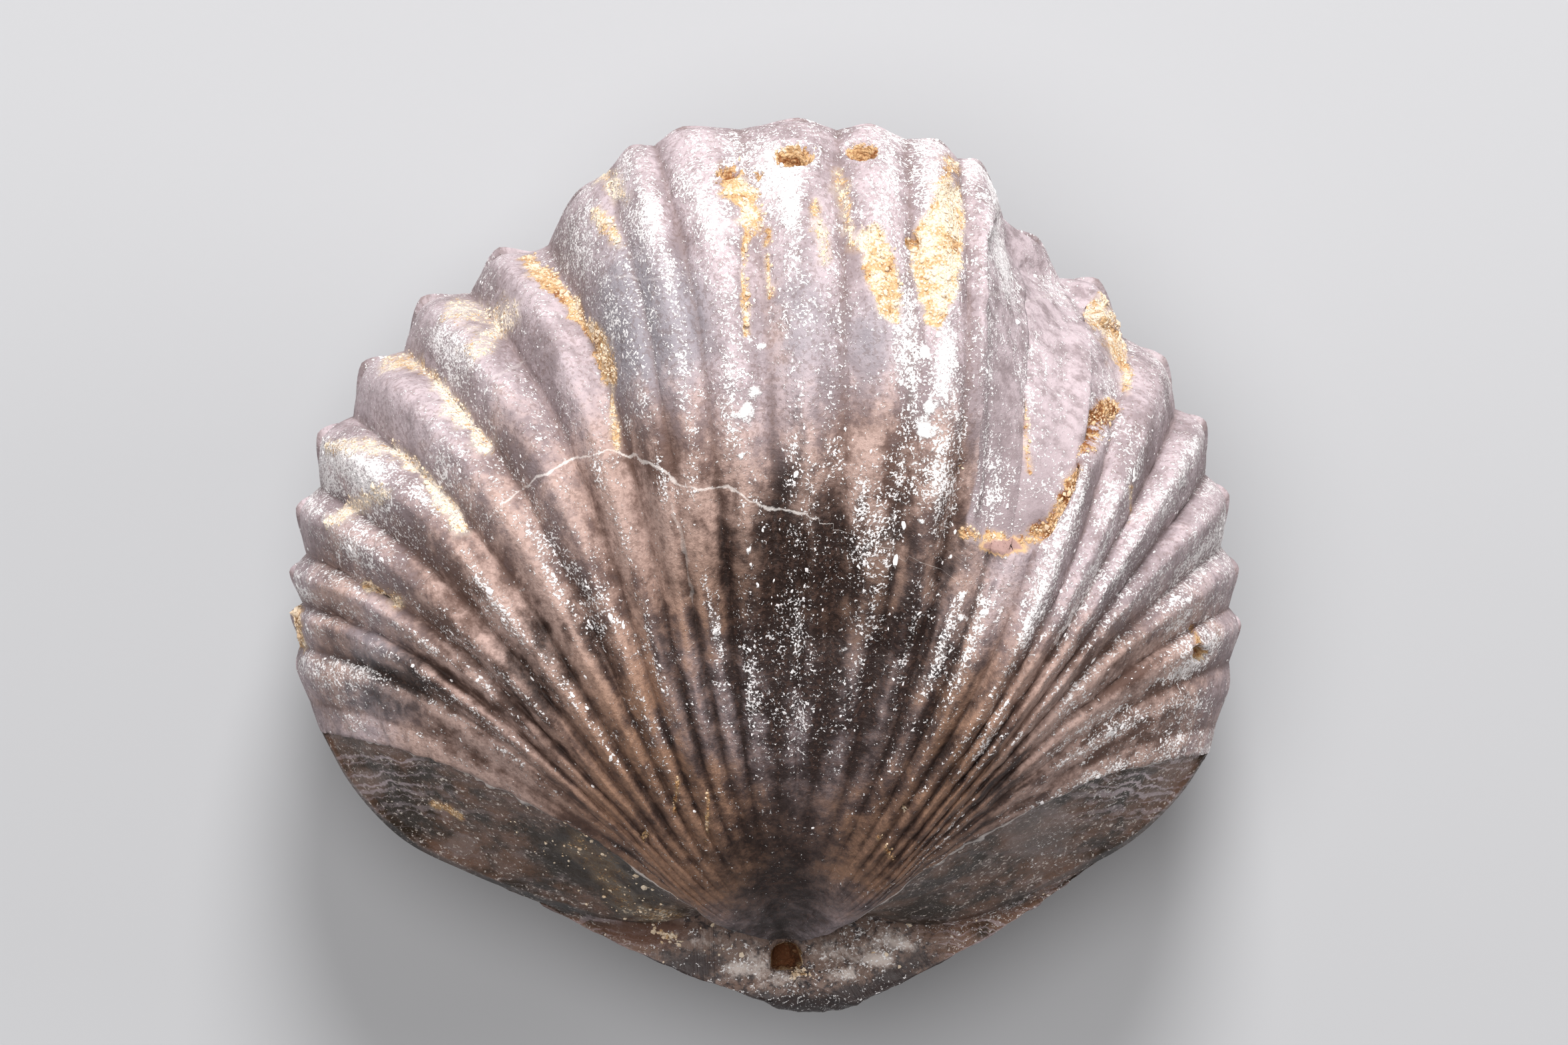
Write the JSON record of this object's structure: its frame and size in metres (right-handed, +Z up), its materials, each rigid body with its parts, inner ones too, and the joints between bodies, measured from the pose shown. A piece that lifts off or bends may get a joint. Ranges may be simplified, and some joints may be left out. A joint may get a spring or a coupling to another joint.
{
  "type": "brachiopod fossil",
  "caption": "Ribbed fossil brachiopod shell, both valves shut, with a raised fold at the front, lying on its pedicle valve.",
  "frame": {"origin": "bottom centre of the shell's bounding box, as it lies on its pedicle valve", "axes": "+X across the shell, +Y from the beak to the front margin, +Z up through the brachial valve"},
  "size_m": [0.0272, 0.0252, 0.0181],
  "materials": {
    "pale_shell": "pale lilac-grey to brown fossil shell, dusty on the ribs, with ochre sediment in the grooves",
    "amber_shell": "amber to grey-brown fossil shell, dull, with a pale beak"
  },
  "bodies": {
    "root": {"brachial_valve": "pale_shell", "pedicle_valve": "amber_shell"}
  },
  "joints": []
}
